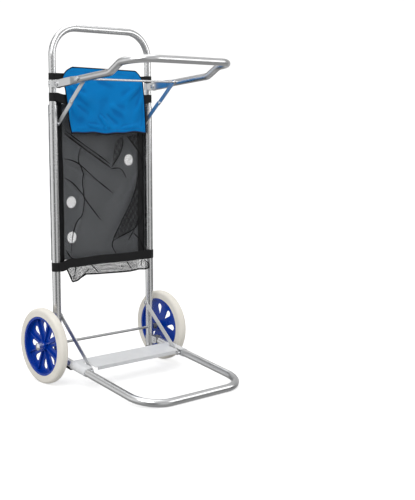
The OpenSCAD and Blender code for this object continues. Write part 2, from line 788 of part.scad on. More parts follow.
handle_tube();
rail_left();
rail_right();
rail_end_plugs();
rail_rivets();
axle();
wheel_spacers();
axle_caps();
upper_hinge_bracket_left();
upper_hinge_bracket_right();
arm_pivot_pins();
lower_hinge_bracket_left();
lower_hinge_bracket_right();
platform_pivot_pins();
knee_studs();
hook_studs();
table_panel();
upper_band();
lower_band();
side_tapes();
net_bag();
bag_straps();
front_bag();
upper_arm_tube();
cross_rod();
cross_rod_nuts();
rod_spacers();
upper_link_left();
upper_link_right();
lower_link_left();
lower_link_right();
knee_rivet_left();
knee_rivet_right();
knee_washer_left();
knee_washer_right();
platform_tube();
platform_knuckles();
load_plate();
rubber_bumpers();
brace_foot_pins();
platform_brace_left();
platform_brace_right();
wheel_rim_left();
tyre_left();
hub_bush_left();
wheel_rim_right();
tyre_right();
hub_bush_right();
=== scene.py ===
import math

import bpy
import numpy as np
from mathutils import Matrix, Vector


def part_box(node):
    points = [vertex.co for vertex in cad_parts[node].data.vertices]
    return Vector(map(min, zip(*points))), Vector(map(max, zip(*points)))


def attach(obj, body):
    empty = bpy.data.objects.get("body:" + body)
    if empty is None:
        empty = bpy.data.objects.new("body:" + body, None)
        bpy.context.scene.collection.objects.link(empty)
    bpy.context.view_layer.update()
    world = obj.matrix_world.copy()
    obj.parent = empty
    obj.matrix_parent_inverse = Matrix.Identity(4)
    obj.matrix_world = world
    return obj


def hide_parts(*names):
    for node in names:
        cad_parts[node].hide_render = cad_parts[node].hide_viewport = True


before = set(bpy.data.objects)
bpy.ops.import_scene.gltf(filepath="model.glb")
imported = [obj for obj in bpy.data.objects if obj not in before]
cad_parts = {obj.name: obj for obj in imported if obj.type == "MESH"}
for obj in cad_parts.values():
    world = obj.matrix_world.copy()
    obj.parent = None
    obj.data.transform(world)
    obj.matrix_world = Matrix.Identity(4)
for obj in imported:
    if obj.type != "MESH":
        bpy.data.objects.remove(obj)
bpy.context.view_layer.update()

# --- places

MM = 0.001
rail_low, rail_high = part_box("rail_right")
RAIL_X = (rail_low.x + rail_high.x) / 2
RAIL_Y = (rail_low.y + rail_high.y) / 2
RAIL_R = (rail_high.x - rail_low.x) / 2
HANDLE_R = 10 * MM
STRAP_THICK = 0.9 * MM
BAND_OFF = 0.75  # millimetres from a tube's skin to the middle of the band round it
FRONT_HALF = 150  # half the width of the front, between the two loops
CORNER_CUT = 0.25


def at(x, y, z):
    """A point or points in metres from millimetres, with y counted from the plane of the rails."""
    return np.stack(np.broadcast_arrays(x * MM, RAIL_Y + y * MM, z * MM), axis=-1)


def smooth_step(t):
    t = np.clip(t, 0, 1)
    return t * t * (3 - 2 * t)


def length_along(path):
    """Distance from the start of a path to each of its points."""
    return np.r_[0, np.cumsum(np.linalg.norm(np.diff(path, axis=0), axis=1))]


def points_at(path, along, spots):
    """The points of a path at given distances from its start."""
    return np.array([np.interp(spots, along, path[:, k]) for k in range(path.shape[1])]).T


def rounded_path(corners, step=3.0, passes=3):
    """A smooth line through a list of points, with a point about every step of its length."""
    pts = np.array(corners, float)
    for _ in range(passes):
        cut = [pts[0]]
        for a, b in zip(pts[:-1], pts[1:]):
            cut += [(1 - CORNER_CUT) * a + CORNER_CUT * b, CORNER_CUT * a + (1 - CORNER_CUT) * b]
        cut.append(pts[-1])
        pts = np.array(cut)
    along = length_along(pts)
    count = max(3, int(along[-1] / step) + 1)
    return points_at(pts, along, np.linspace(0, along[-1], count))


# --- meshes

def show(obj):
    bpy.context.scene.collection.objects.link(obj)
    return obj


def make_piece(name, shape, materials, body, smooth=True, face_material=None):
    """A mesh piece that rides on a body.

    shape is its points, its faces and each point's place on the flat cloth, in metres.
    """
    verts, faces, thread = shape
    mesh = bpy.data.meshes.new(name)
    mesh.from_pydata([tuple(map(float, v)) for v in verts], [], [tuple(map(int, f)) for f in faces])
    for m in materials:
        mesh.materials.append(m)
    if face_material is not None:
        mesh.polygons.foreach_set("material_index", np.array(face_material, dtype=np.int32))
    if smooth:
        mesh.polygons.foreach_set("use_smooth", np.ones(len(mesh.polygons), dtype=bool))
    layer = mesh.uv_layers.new(name="thread")
    index = np.zeros(len(mesh.loops), dtype=np.int32)
    mesh.loops.foreach_get("vertex_index", index)
    layer.data.foreach_set("uv", np.array(thread, np.float32)[index].ravel())
    mesh.update()
    piece = show(bpy.data.objects.new(name, mesh))
    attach(piece, body)
    return piece


class Parts:
    """Collects closed shapes that end up as one mesh."""

    def __init__(self):
        self.verts, self.faces, self.thread, self.kind = [], [], [], []

    def add(self, verts, faces, thread=None, kind=0):
        start = len(self.verts)
        self.verts += [np.array(v, float) for v in verts]
        self.faces += [[i + start for i in f] for f in faces]
        self.thread += list(thread) if thread is not None else [(0.0, 0.0)] * len(verts)
        self.kind += [kind] * len(faces)

    def piece(self, name, materials, body):
        return make_piece(name, (self.verts, self.faces, self.thread), materials, body,
                          face_material=self.kind)


def grid_normals(p):
    du = np.gradient(p, axis=0)
    dv = np.gradient(p, axis=1)
    n = np.cross(du, dv)
    return n / np.maximum(np.linalg.norm(n, axis=2, keepdims=True), 1e-12)


def cloth_shell(p, thick, thread):
    """A closed sheet of cloth from a grid of points: two faces and the cut edge round them."""
    nu, nv = p.shape[:2]
    off = nu * nv
    n = grid_normals(p)
    verts = np.concatenate([(p + n * thick / 2).reshape(-1, 3), (p - n * thick / 2).reshape(-1, 3)])
    faces = []
    for i in range(nu - 1):
        for j in range(nv - 1):
            a, b = i * nv + j, (i + 1) * nv + j
            faces += [[a, b, b + 1, a + 1], [off + a + 1, off + b + 1, off + b, off + a]]
    rim = ([i * nv for i in range(nu)] + [(nu - 1) * nv + j for j in range(1, nv)]
           + [i * nv + nv - 1 for i in range(nu - 2, -1, -1)] + list(range(nv - 2, 0, -1)))
    faces += [[b, a, off + a, off + b] for a, b in zip(rim, rim[1:] + rim[:1])]
    return verts, faces, np.concatenate([thread.reshape(-1, 2)] * 2)


def skins(front, back, thread):
    """A closed pouch from two grids that share their outer edge."""
    nu, nv = front.shape[:2]
    verts = list(front.reshape(-1, 3))
    uv = list(thread.reshape(-1, 2))
    index = {}
    for i in range(nu):
        for j in range(nv):
            if 0 < i < nu - 1 and 0 < j < nv - 1:
                index[i, j] = len(verts)
                verts.append(back[i, j])
                uv.append(thread[i, j])
            else:
                index[i, j] = i * nv + j
    faces = []
    for i in range(nu - 1):
        for j in range(nv - 1):
            faces.append([i * nv + j, (i + 1) * nv + j, (i + 1) * nv + j + 1, i * nv + j + 1])
            faces.append([index[i, j + 1], index[i + 1, j + 1], index[i + 1, j], index[i, j]])
    return verts, faces, uv


def carried_frames(path, up):
    """Unit side and up directions that follow a path without twisting about it."""
    p = np.array(path, float)
    t = np.gradient(p, axis=0)
    t /= np.maximum(np.linalg.norm(t, axis=1, keepdims=True), 1e-12)
    ups = []
    u = np.array(up, float)
    for k in range(len(p)):
        u = u - t[k] * (u @ t[k])
        u = u / max(np.linalg.norm(u), 1e-9)
        ups.append(u.copy())
    ups = np.array(ups)
    return np.cross(t, ups), ups


def ring_faces(count, m):
    """Side and end faces of a solid made of count rings with m points each."""
    faces = []
    for k in range(count - 1):
        for j in range(m):
            after = (j + 1) % m
            faces.append([k * m + j, k * m + after, (k + 1) * m + after, (k + 1) * m + j])
    faces.append(list(range(m))[::-1])
    faces.append([(count - 1) * m + j for j in range(m)])
    return faces


def swept(path, up, profile):
    """A closed solid that carries a cross-section along a path.

    profile is (side, up) for each point, or one such list for each step.
    """
    p = np.array(path, float)
    side, ups = carried_frames(p, up)
    rings = np.array(profile, float)
    if rings.ndim == 2:
        rings = np.repeat(rings[None], len(p), axis=0)
    m = rings.shape[1]
    verts = p[:, None] + side[:, None] * rings[:, :, :1] + ups[:, None] * rings[:, :, 1:]
    along = length_along(p)
    thread = [(along[k], rings[k, j, 1]) for k in range(len(p)) for j in range(m)]
    return verts.reshape(-1, 3), ring_faces(len(p), m), thread


def round_profile(r, sides=8):
    a = np.linspace(0, 2 * math.pi, sides, endpoint=False)
    return np.stack([r * np.cos(a), r * np.sin(a)], axis=1)


def webbing_profile(width, thick, across=9):
    """Cross-section of a woven strap: flat faces, selvedges first thicker and then rounded off."""
    v = np.linspace(-width / 2, width / 2, across)
    swell = thick / 2 * (1 + 0.12 * (np.abs(v) > width * 0.36) - 0.55 * (np.abs(v) > width * 0.49))
    return np.concatenate([np.stack([swell, v], axis=1), np.stack([-swell[::-1], v[::-1]], axis=1)])


STITCH_TAPER = (0.45, 1, 1, 1, 0.45)  # thickness along one stitch
STITCH_RISE = 0.8  # of the thread's radius, at the middle of a stitch
STITCH_SIDES = 6


def stitch_run(parts, path, up, gap=3.4 * MM, long=2.4 * MM, r=0.28 * MM, kind=0):
    """Short raised threads along a seam."""
    p = np.array(path, float)
    along = length_along(p)
    steps = len(STITCH_TAPER)
    rise = np.array(up) * (np.sin(np.linspace(0, math.pi, steps)) * r * STITCH_RISE)[:, None]
    rings = np.array([round_profile(r * f, STITCH_SIDES) for f in STITCH_TAPER])
    for s in np.arange(gap / 2, along[-1] - long, gap):
        line = points_at(p, along, np.linspace(s, s + long, steps)) + rise
        verts, faces, _ = swept(line, up, rings)
        parts.add(verts, faces, kind=kind)


# --- shader groups

KINDS = {"f": "NodeSocketFloat", "v": "NodeSocketVector", "c": "NodeSocketColor"}


def new_group(name, takes, gives):
    """A shader node group, with the names and the kinds of the sockets it takes and gives."""
    group = bpy.data.node_groups.new(name, "ShaderNodeTree")
    for in_out, sockets in (("INPUT", takes), ("OUTPUT", gives)):
        for label, kind in sockets.items():
            group.interface.new_socket(name=label, in_out=in_out, socket_type=KINDS[kind])
    given = group.nodes.new("NodeGroupInput").outputs
    return group, given, group.nodes.new("NodeGroupOutput")


def wire(tree, pairs):
    for a, b in pairs:
        tree.links.new(a, b)


def feed(tree, socket, value):
    """Link a socket, or set it where the value is plain."""
    if hasattr(value, "is_linked"):
        tree.links.new(value, socket)
    elif socket.type == "RGBA" and len(value) == 3:
        socket.default_value = (*value, 1.0)
    else:
        socket.default_value = value


def feed_all(tree, node, **values):
    """Feed sockets by name; an underscore stands for a space."""
    for label, value in values.items():
        feed(tree, node.inputs[label.replace("_", " ")], value)


def math_node(tree, op, *values):
    node = tree.nodes.new("ShaderNodeMath")
    node.operation = op
    for socket, value in zip(node.inputs, values):
        feed(tree, socket, value)
    return node.outputs[0]


def times(tree, a, b):
    return math_node(tree, "MULTIPLY", a, b)


def plus(tree, a, b):
    return math_node(tree, "ADD", a, b)


def object_place(tree):
    return tree.nodes.new("ShaderNodeTexCoord").outputs["Object"]


def thread_axes(tree):
    """The two directions on the flat cloth, in metres."""
    uv = tree.nodes.new("ShaderNodeUVMap")
    uv.uv_map = "thread"
    split = tree.nodes.new("ShaderNodeSeparateXYZ")
    wire(tree, [(uv.outputs["UV"], split.inputs[0])])
    return split.outputs["X"], split.outputs["Y"]


def noise_node(tree, vector, scale, detail=2.0, rough=0.5):
    node = tree.nodes.new("ShaderNodeTexNoise")
    feed_all(tree, node, Scale=scale, Detail=detail, Roughness=rough, Vector=vector)
    return node.outputs["Fac"]


def remap(tree, value, *ends):
    """Map value from the range of the first two ends to that of the last two."""
    node = tree.nodes.new("ShaderNodeMapRange")
    for label, end in zip(("From Min", "From Max", "To Min", "To Max"), ends):
        feed(tree, node.inputs[label], end)
    feed(tree, node.inputs["Value"], value)
    return node.outputs["Result"]


MIX_SOCKETS = (0, 6, 7)  # factor and the two colours of a colour mix
MIX_COLOUR = 2


def mix_colour(tree, *values):
    node = tree.nodes.new("ShaderNodeMix")
    node.data_type = "RGBA"
    for k, value in zip(MIX_SOCKETS, values):
        feed(tree, node.inputs[k], value)
    return node.outputs[MIX_COLOUR]


def build_drawn_grain():
    """Fine lines along a tube or bar, from drawing and brushing, with a slow change of tone."""
    group, given, end = new_group(
        "drawn_grain",
        {"Stretch": "v", "Colour": "c", "Roughness": "f", "Contrast": "f"},
        {"Colour": "c", "Roughness": "f", "Height": "f"})
    place = object_place(group)
    scale = group.nodes.new("ShaderNodeVectorMath")
    scale.operation = "MULTIPLY"
    wire(group, [(place, scale.inputs[0]), (given["Stretch"], scale.inputs[1])])
    lines = noise_node(group, scale.outputs[0], scale=1.0, detail=3.0, rough=0.6)
    slow = noise_node(group, place, scale=14.0, detail=3.0, rough=0.55)
    tone = math_node(group, "SUBTRACT", plus(group, lines, slow), 1.0)
    tone = times(group, tone, given["Contrast"])
    shadow = (0.25, 0.25, 0.26)
    darker = mix_colour(group, math_node(group, "ABSOLUTE", tone), given["Colour"], shadow)
    feed_all(group, end, Colour=darker, Height=lines,
             Roughness=plus(group, given["Roughness"], tone))
    return group


def build_handling_wear():
    """Small scuffs and rubbed spots from use."""
    group, given, end = new_group(
        "handling_wear",
        {"Colour": "c", "Worn Colour": "c", "Roughness": "f", "Amount": "f", "Size": "f"},
        {"Colour": "c", "Roughness": "f", "Mask": "f"})
    patchy = noise_node(group, object_place(group), given["Size"], detail=6.0, rough=0.7)
    spots = remap(group, patchy, 0.58, 0.72, 0.0, 1.0)
    mask = times(group, spots, given["Amount"])
    colour = mix_colour(group, mask, given["Colour"], given["Worn Colour"])
    rough = plus(group, given["Roughness"], times(group, mask, 0.2))
    feed_all(group, end, Colour=colour, Roughness=rough, Mask=mask)
    return group


def build_plain_weave():
    """Threads over and under each other, with painted shade in the gaps between them. Pitch is
    threads per metre.
    """
    group, given, end = new_group(
        "plain_weave",
        {"Pitch U": "f", "Pitch V": "f", "Colour": "c", "Gap Colour": "c"},
        {"Colour": "c", "Height": "f", "Thread": "f"})
    waves = []
    for axis, pitch in zip(thread_axes(group), ("Pitch U", "Pitch V")):
        turn = times(group, times(group, axis, given[pitch]), math.pi)
        waves.append(math_node(group, "SINE", turn))
    warp, weft = (math_node(group, "ABSOLUTE", wave) for wave in waves)
    over = math_node(group, "GREATER_THAN", times(group, *waves), 0.0)
    low, high = math_node(group, "MINIMUM", warp, weft), math_node(group, "MAXIMUM", warp, weft)
    height = plus(group, times(group, high, 0.75), times(group, times(group, warp, over), 0.25))
    # Painted shade: the gaps between threads are mixed towards the gap shade colour.
    painted_shade_mask = remap(group, low, 0.0, 0.45, 0.0, 1.0)
    colour = mix_colour(group, painted_shade_mask, given["Gap Colour"], given["Colour"])
    feed_all(group, end, Colour=colour, Height=height, Thread=painted_shade_mask)
    return group


def build_open_mesh():
    """Knitted net: thin threads round small openings."""
    group, given, end = new_group(
        "open_mesh",
        {"Pitch": "f", "Thread Width": "f"},
        {"Alpha": "f", "Height": "f"})
    u, v = thread_axes(group)
    cells = []
    for slant in (0.5, -0.5):
        line = plus(group, times(group, u, 1.0), times(group, v, slant))
        turn = times(group, times(group, line, given["Pitch"]), math.pi)
        cells.append(math_node(group, "ABSOLUTE", math_node(group, "SINE", turn)))
    near = math_node(group, "MINIMUM", *cells)
    alpha = math_node(group, "LESS_THAN", near, given["Thread Width"])
    feed_all(group, end, Alpha=alpha, Height=remap(group, near, 0.0, 0.5, 1.0, 0.0))
    return group


def build_moulded_skin():
    """Fine dimples of moulded plastic, rubber or foam."""
    group, given, end = new_group(
        "moulded_skin",
        {"Size": "f", "Colour": "c", "Dark": "c", "Roughness": "f", "Variation": "f"},
        {"Colour": "c", "Roughness": "f", "Height": "f"})
    place = object_place(group)
    fine = noise_node(group, place, given["Size"], detail=3.0)
    slow = noise_node(group, place, scale=22.0, detail=4.0, rough=0.6)
    amount = times(group, slow, given["Variation"])
    colour = mix_colour(group, amount, given["Colour"], given["Dark"])
    uneven = times(group, math_node(group, "SUBTRACT", slow, 0.5), 0.2)
    feed_all(group, end, Colour=colour, Height=fine,
             Roughness=plus(group, given["Roughness"], uneven))
    return group


DRAWN = build_drawn_grain()
WEAR = build_handling_wear()
WEAVE = build_plain_weave()
NET = build_open_mesh()
SKIN = build_moulded_skin()


# --- materials

def new_material(name):
    material = bpy.data.materials.new(name)
    material.use_nodes = True
    tree = material.node_tree
    return material, tree, tree.nodes["Principled BSDF"]


def place_group(tree, group, **values):
    node = tree.nodes.new("ShaderNodeGroup")
    node.node_tree = group
    feed_all(tree, node, **values)
    return node


def bump(tree, shader, height, strength, distance):
    node = tree.nodes.new("ShaderNodeBump")
    feed_all(tree, node, Strength=strength, Distance=distance, Height=height)
    wire(tree, [(node.outputs["Normal"], shader.inputs["Normal"])])


def add_scuffs(tree, shader, colour, rough, worn_colour, worn, size, crease_shade_colour=None):
    """Feed a finish to its shader with scuffs laid over it, and painted shade in the creases where a
    crease shade colour is given.
    """
    wear = place_group(tree, WEAR, Colour=colour, Roughness=rough, Worn_Colour=worn_colour,
                       Amount=worn, Size=size)
    shown = wear.outputs["Colour"]
    if crease_shade_colour:
        # Painted shade: the crease mask darkens the colour in the cloth's fold hollows and where it
        # faces downwards.
        fold = tree.nodes.new("ShaderNodeAttribute")
        fold.attribute_name = "painted_crease_shade"
        shown = mix_colour(tree, fold.outputs["Fac"], shown, crease_shade_colour)
    feed_all(tree, shader, Base_Color=shown, Roughness=wear.outputs["Roughness"])


RUBBED_METAL = (0.93, 0.93, 0.94)
METAL_SCUFF, PLASTIC_SCUFF, CLOTH_SCUFF = 70.0, 45.0, 24.0  # scuffs per metre


def metal(name, colour, rough, stretch, contrast=0.1, worn=0.25, grain=0.12):
    """Bare or anodised metal with drawn lines and scuffs."""
    material, tree, shader = new_material(name)
    lines = place_group(tree, DRAWN, Stretch=stretch, Colour=colour, Roughness=rough,
                        Contrast=contrast)
    add_scuffs(tree, shader, lines.outputs["Colour"], lines.outputs["Roughness"], RUBBED_METAL,
               worn, METAL_SCUFF)
    feed_all(tree, shader, Metallic=1.0)
    bump(tree, shader, lines.outputs["Height"], grain, 0.02 * MM)
    return material


def moulded(name, colour, dark, rough, size, height, coat=0.0, worn=0.0, sheen=0.0, gloss=0.5):
    """Moulded plastic, rubber or foam; size is dimples per metre and height is in millimetres."""
    material, tree, shader = new_material(name)
    skin = place_group(tree, SKIN, Size=size, Colour=colour, Dark=dark, Roughness=rough,
                       Variation=0.7)
    add_scuffs(tree, shader, skin.outputs["Colour"], skin.outputs["Roughness"], dark, worn,
               PLASTIC_SCUFF)
    feed_all(tree, shader, Coat_Weight=coat, Coat_Roughness=0.12, Sheen_Weight=sheen,
             Specular_IOR_Level=gloss)
    bump(tree, shader, skin.outputs["Height"], 0.5, height * MM)
    return material


def woven(name, colour, gap, pitch_u, pitch_v, rough, sheen, depth, worn=0.1, tint=None,
          gloss=0.35, crease_shade_colour=None):
    """Plain woven cloth or webbing; the pitches are threads per metre, depth is in millimetres. The
    crease shade colour, where given, is painted shade in the creases.
    """
    material, tree, shader = new_material(name)
    # gap is the colour of the painted shade between threads.
    weave = place_group(tree, WEAVE, Pitch_U=pitch_u, Pitch_V=pitch_v, Colour=colour,
                        Gap_Colour=gap)
    worn_colour = tint or tuple(min(1.0, c * 1.5 + 0.02) for c in colour)
    add_scuffs(tree, shader, weave.outputs["Colour"], rough, worn_colour, worn, CLOTH_SCUFF,
               crease_shade_colour)
    feed_all(tree, shader, Sheen_Weight=sheen, Sheen_Roughness=0.4, Specular_IOR_Level=gloss)
    bump(tree, shader, weave.outputs["Height"], 0.45, depth * MM)
    return material


def netting(name, colour, pitch, width):
    """Net whose openings are clear."""
    material, tree, shader = new_material(name)
    net = place_group(tree, NET, Pitch=pitch, Thread_Width=width)
    feed_all(tree, shader, Base_Color=colour, Roughness=0.7, Alpha=net.outputs["Alpha"])
    bump(tree, shader, net.outputs["Height"], 0.4, 0.2 * MM)
    return material


ACROSS, ALONG = 1400.0, 30.0  # lines per metre across and along the drawing direction
ALONG_X, ALONG_Y, ALONG_Z = (ALONG, ACROSS, ACROSS), (ACROSS, ALONG, ACROSS), (ACROSS, ACROSS, ALONG)
NO_GRAIN = (700.0, 700.0, 700.0)
upright_metal = metal("anodised_upright_tube", (0.80, 0.805, 0.81), 0.26, ALONG_Z, grain=0.06)
lying_metal = metal("anodised_lying_tube", (0.79, 0.795, 0.80), 0.30, ALONG_Y, grain=0.06)
bar_metal = metal("brushed_flat_bar", (0.76, 0.765, 0.77), 0.42, ALONG_Y, contrast=0.14, worn=0.35,
                  grain=0.08)
rod_metal = metal("plated_rod", (0.84, 0.84, 0.85), 0.22, ALONG_X, contrast=0.05, grain=0.03)
axle_metal = metal("zinc_plated_axle", (0.46, 0.465, 0.47), 0.36, ALONG_X, contrast=0.08,
                   grain=0.03)
rivet_metal = metal("plated_rivet", (0.70, 0.71, 0.73), 0.26, NO_GRAIN, contrast=0.12, worn=0.3)
cap_metal = metal("polished_cap", (0.90, 0.90, 0.91), 0.10, ALONG_X, contrast=0.04, worn=0.2,
                  grain=0.05)
plate_paint = moulded("satin_plate_paint", (0.80, 0.81, 0.82), (0.62, 0.63, 0.65), 0.38, 600.0,
                      0.03, coat=0.15, worn=0.15)
grey_plastic = moulded("grey_moulded_plastic", (0.20, 0.205, 0.21), (0.12, 0.12, 0.125), 0.48,
                       1200.0, 0.04, worn=0.1)
rim_plastic = moulded("blue_rim_plastic", (0.0, 0.050, 0.42), (0.0, 0.026, 0.26), 0.26, 500.0,
                      0.015, coat=0.12, worn=0.05, gloss=0.3)
tyre_foam = moulded("cream_tyre_foam", (0.86, 0.83, 0.76), (0.70, 0.66, 0.58), 0.72, 420.0, 0.25,
                    worn=0.12, sheen=0.1)
rubber = moulded("black_rubber_pad", (0.016, 0.016, 0.017), (0.035, 0.035, 0.034), 0.62, 800.0,
                 0.06, worn=0.2)
# The blue cloth's crease shade colour is painted shade for its folds.
blue_cloth = woven("blue_polyester", (0.0, 0.235, 0.63), (0.0, 0.13, 0.42), 1700.0, 1700.0, 0.5,
                   0.0, 0.10, worn=0.3, tint=(0.0, 0.33, 0.80), gloss=0.08,
                   crease_shade_colour=(0.0, 0.085, 0.33))
black_cloth = woven("black_lining_cloth", (0.020, 0.020, 0.022), (0.006, 0.006, 0.006), 1500.0,
                    1500.0, 0.66, 0.05, 0.10, gloss=0.15)
webbing = woven("black_webbing", (0.012, 0.012, 0.013), (0.003, 0.003, 0.003), 900.0, 520.0, 0.60,
                0.06, 0.25, worn=0.15, gloss=0.2)
panel_cloth = woven("grey_panel_cloth", (0.66, 0.67, 0.69), (0.46, 0.47, 0.49), 1300.0, 1300.0,
                    0.58, 0.15, 0.10)
panel_lining = woven("dark_panel_lining", (0.330, 0.345, 0.365), (0.20, 0.21, 0.22), 1300.0,
                     1300.0, 0.62, 0.05, 0.10)
edge_binding = woven("grey_edge_binding", (0.34, 0.345, 0.36), (0.20, 0.20, 0.21), 900.0, 700.0,
                     0.60, 0.15, 0.15)
net_cloth = netting("black_net", (0.012, 0.012, 0.013), 420.0, 0.25)
folded_net = netting("doubled_black_net", (0.012, 0.012, 0.013), 510.0, 0.38)
thread_black = moulded("black_thread", (0.005, 0.005, 0.006), (0.010, 0.010, 0.010), 0.65, 1500.0,
                       0.05, gloss=0.12)
thread_blue = moulded("blue_thread", (0.0, 0.11, 0.44), (0.0, 0.07, 0.30), 0.50, 1500.0, 0.05)
thread_grey = moulded("grey_thread", (0.42, 0.43, 0.45), (0.32, 0.33, 0.34), 0.55, 1500.0, 0.05)


def both(*names):
    return [name + side for name in names for side in ("_left", "_right")]


CAD_FINISH = {
    upright_metal: ["handle_tube", *both("rail")],
    lying_metal: ["upper_arm_tube", "platform_tube"],
    bar_metal: both("upper_hinge_bracket", "lower_hinge_bracket", "upper_link", "lower_link",
                    "platform_brace"),
    rod_metal: ["cross_rod", "rod_spacers"],
    axle_metal: ["axle"],
    rivet_metal: ["rail_rivets", "arm_pivot_pins", "platform_pivot_pins", "knee_studs", "hook_studs",
                  "cross_rod_nuts", "brace_foot_pins", *both("knee_rivet", "knee_washer")],
    cap_metal: ["axle_caps"],
    plate_paint: ["load_plate"],
    grey_plastic: ["rail_end_plugs", "wheel_spacers", "platform_knuckles", *both("hub_bush")],
    rim_plastic: both("wheel_rim"),
    tyre_foam: both("tyre"),
    rubber: ["rubber_bumpers"],
}
for finish, nodes in CAD_FINISH.items():
    for node in nodes:
        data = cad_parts[node].data
        data.materials.clear()
        data.materials.append(finish)


# --- front bag

# All places here are in millimetres: x across, z up, y from the plane of the rails.
BAG_TOP, BAG_TOP_FALL, BAG_LOW = 909, 4, 722.5
BAG_FACE, BAG_FACE_RANGE = -15.4, (-20.8, -13.4)
BAG_BACK, BAG_BACK_RANGE = -15.2, (-14.9, -12.5)
BAG_GRID = (91, 61)
BAG_LEFT = ([722, 745, 760, 800, 845, 865, 880, 890, 900, 909],
            [-122, -127, -130, -134.5, -140.5, -146, -149.5, -144, -134, -116])
BAG_RIGHT = ([722, 760, 820, 868, 880, 889, 897, 905], [151.5, 150, 146.5, 141, 138, 131, 124, 113])
BAG_FOLDS = [  # start x, z, end x, z, width, height of each tension fold
    (-146, 868, -40, 800, 10, 2.6), (-140, 876, -70, 850, 7, 1.8), (-148, 850, -95, 770, 9, 2.2),
    (148, 876, 60, 812, 10, 2.4), (146, 882, 95, 858, 7, 1.6), (150, 850, 112, 770, 9, 2.0),
    (-20, 770, 10, 738, 8, 2.2), (5, 775, 45, 745, 7, -1.6), (-60, 745, -10, 733, 6, 1.8),
    (60, 735, 125, 742, 7, 1.6), (-110, 735, -75, 728, 6, 1.5), (20, 800, 90, 770, 12, 1.5),
    (-100, 800, -50, 770, 11, -1.4), (-30, 880, 40, 868, 12, 1.2), (135, 740, 150, 800, 8, -1.2),
    (-128, 740, -140, 800, 8, 1.2), (-5, 738, 5, 726, 5, 1.6), (88, 728, 96, 740, 5, 1.4),
]


def fold_height(x, z, folds):
    """Height of long soft folds at x and z, in millimetres."""
    h = np.zeros_like(x)
    for x0, z0, x1, z1, width, high in folds:
        d = np.array([x1 - x0, z1 - z0], float)
        length = np.linalg.norm(d)
        d /= length
        s = ((x - x0) * d[0] + (z - z0) * d[1]) / length
        off = (x - x0) * -d[1] + (z - z0) * d[0]
        w = width * (0.45 + 0.9 * np.clip(s, 0, 1))
        fade = smooth_step((s + 0.15) / 0.3) * smooth_step((1.2 - s) / 0.5)
        h += high * np.exp(-(off / w) ** 2) * fade
    return h


def slow_waves(x, z, seed, size, count=7):
    """Broad unevenness of slack cloth, from -1 to 1."""
    draw = np.random.default_rng(seed)
    h = np.zeros_like(x)
    for _ in range(count):
        a = draw.uniform(0, 2 * math.pi)
        k = 2 * math.pi / (size * draw.uniform(0.6, 1.6))
        h += np.sin((x * math.cos(a) + z * math.sin(a)) * k + draw.uniform(0, 6.28))
    return h / count


def build_front_bag():
    nu, nv = BAG_GRID
    u, v = np.meshgrid(np.linspace(0, 1, nu), np.linspace(0, 1, nv), indexing="ij")
    z_top = BAG_TOP - BAG_TOP_FALL * u
    z_low = BAG_LOW + 2.0 * np.sin(u * 9.5) + 1.2 * np.sin(u * 23 + 1)
    z = z_low + v * (z_top - z_low)
    left = np.interp(z, *BAG_LEFT)
    right = np.interp(z, *BAG_RIGHT)
    x = left + u * (right - left)
    edge = (4 * u * (1 - u)) ** 0.4 * np.clip(4 * v * (1 - v) + 0.02, 0, 1) ** 0.35
    edge[0, :] = edge[-1, :] = edge[:, 0] = edge[:, -1] = 0
    wave = slow_waves(x, z, 5, 70)
    fold = fold_height(x, z, BAG_FOLDS)
    ease = smooth_step(np.minimum(np.minimum(u, 1 - u) * 14, np.minimum(v, 1 - v) * 10))
    front = BAG_FACE - edge * 1.7 - ease * (1.4 * wave + 1.25 * fold)
    back = BAG_BACK + edge * 1.5 + ease * np.clip(0.5 * wave - 0.25 * fold, -1.2, 1.0)
    front = np.clip(front, *BAG_FACE_RANGE)
    back = np.maximum(np.clip(back, *BAG_BACK_RANGE), front + 0.5 * edge)
    face = at(x, front, z)
    thread = np.stack([x * MM, z * MM], axis=2)
    bag = make_piece("front_bag_cloth", skins(face, at(x, back, z), thread), [blue_cloth], "frame")
    # Painted shade: a darker blue in the fold hollows and where the cloth faces downwards, stored on
    # the points as a mask.
    bend = sum(np.gradient(np.gradient(front, axis=k), axis=k) for k in (0, 1))
    slope = np.gradient(front, axis=1)
    raw_painted_shade = -1.6 * bend - 0.45 * slope + 0.50 * slow_waves(x, z, 21, 85) - 0.03
    painted_shade_mask = np.zeros(len(bag.data.vertices))
    painted_shade_mask[:nu * nv] = (np.clip(raw_painted_shade, 0, 0.42) * ease).reshape(-1)
    painted_crease_shade = bag.data.attributes.new("painted_crease_shade", "FLOAT", "POINT")
    painted_crease_shade.data.foreach_set("value", painted_shade_mask.astype(np.float32))
    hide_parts("front_bag")

    def bound(name, path, profile, finish):
        """A piping round the bag's edge, and the black strip of painted shadow under its lower edge.
        """
        trim = make_piece(name, swept(rounded_path(path, 4 * MM, 1), (0, 1, 0), profile),
                          [finish], "frame")
        return trim

    ring = ([(0, j) for j in range(nv)] + [(i, nv - 1) for i in range(1, nu)]
            + [(nu - 1, j) for j in range(nv - 2, -1, -1)])
    piping = bound("front_bag_piping", [face[spot] for spot in ring],
                   round_profile(1.5 * MM, 10), thread_black)
    low_edge = face[:, 0]
    # Painted shadow: a black webbing strip just below the bag's lower edge, where its shade falls on
    # the net.
    painted_shadow_strip = bound("front_bag_shadow_strip", low_edge - np.array([0, 0, 1.6 * MM]),
                    round_profile(1.0, 12) * np.array([3.0, 1.3]) * MM, webbing)

    hem = Parts()
    hem.add(*swept(rounded_path(low_edge, 4 * MM, 1), (0, 1, 0), round_profile(1.15 * MM, 8)))
    proud = np.array([0, -0.15 * MM, 0])
    for line in (face[4:-4, 3], face[4:-4, -5], face[3, 4:-5], face[-4, 4:-5]):
        stitch_run(hem, line + proud, (0, -1, 0))
    seams = hem.piece("front_bag_seams", [thread_blue], "frame")


# --- webbing

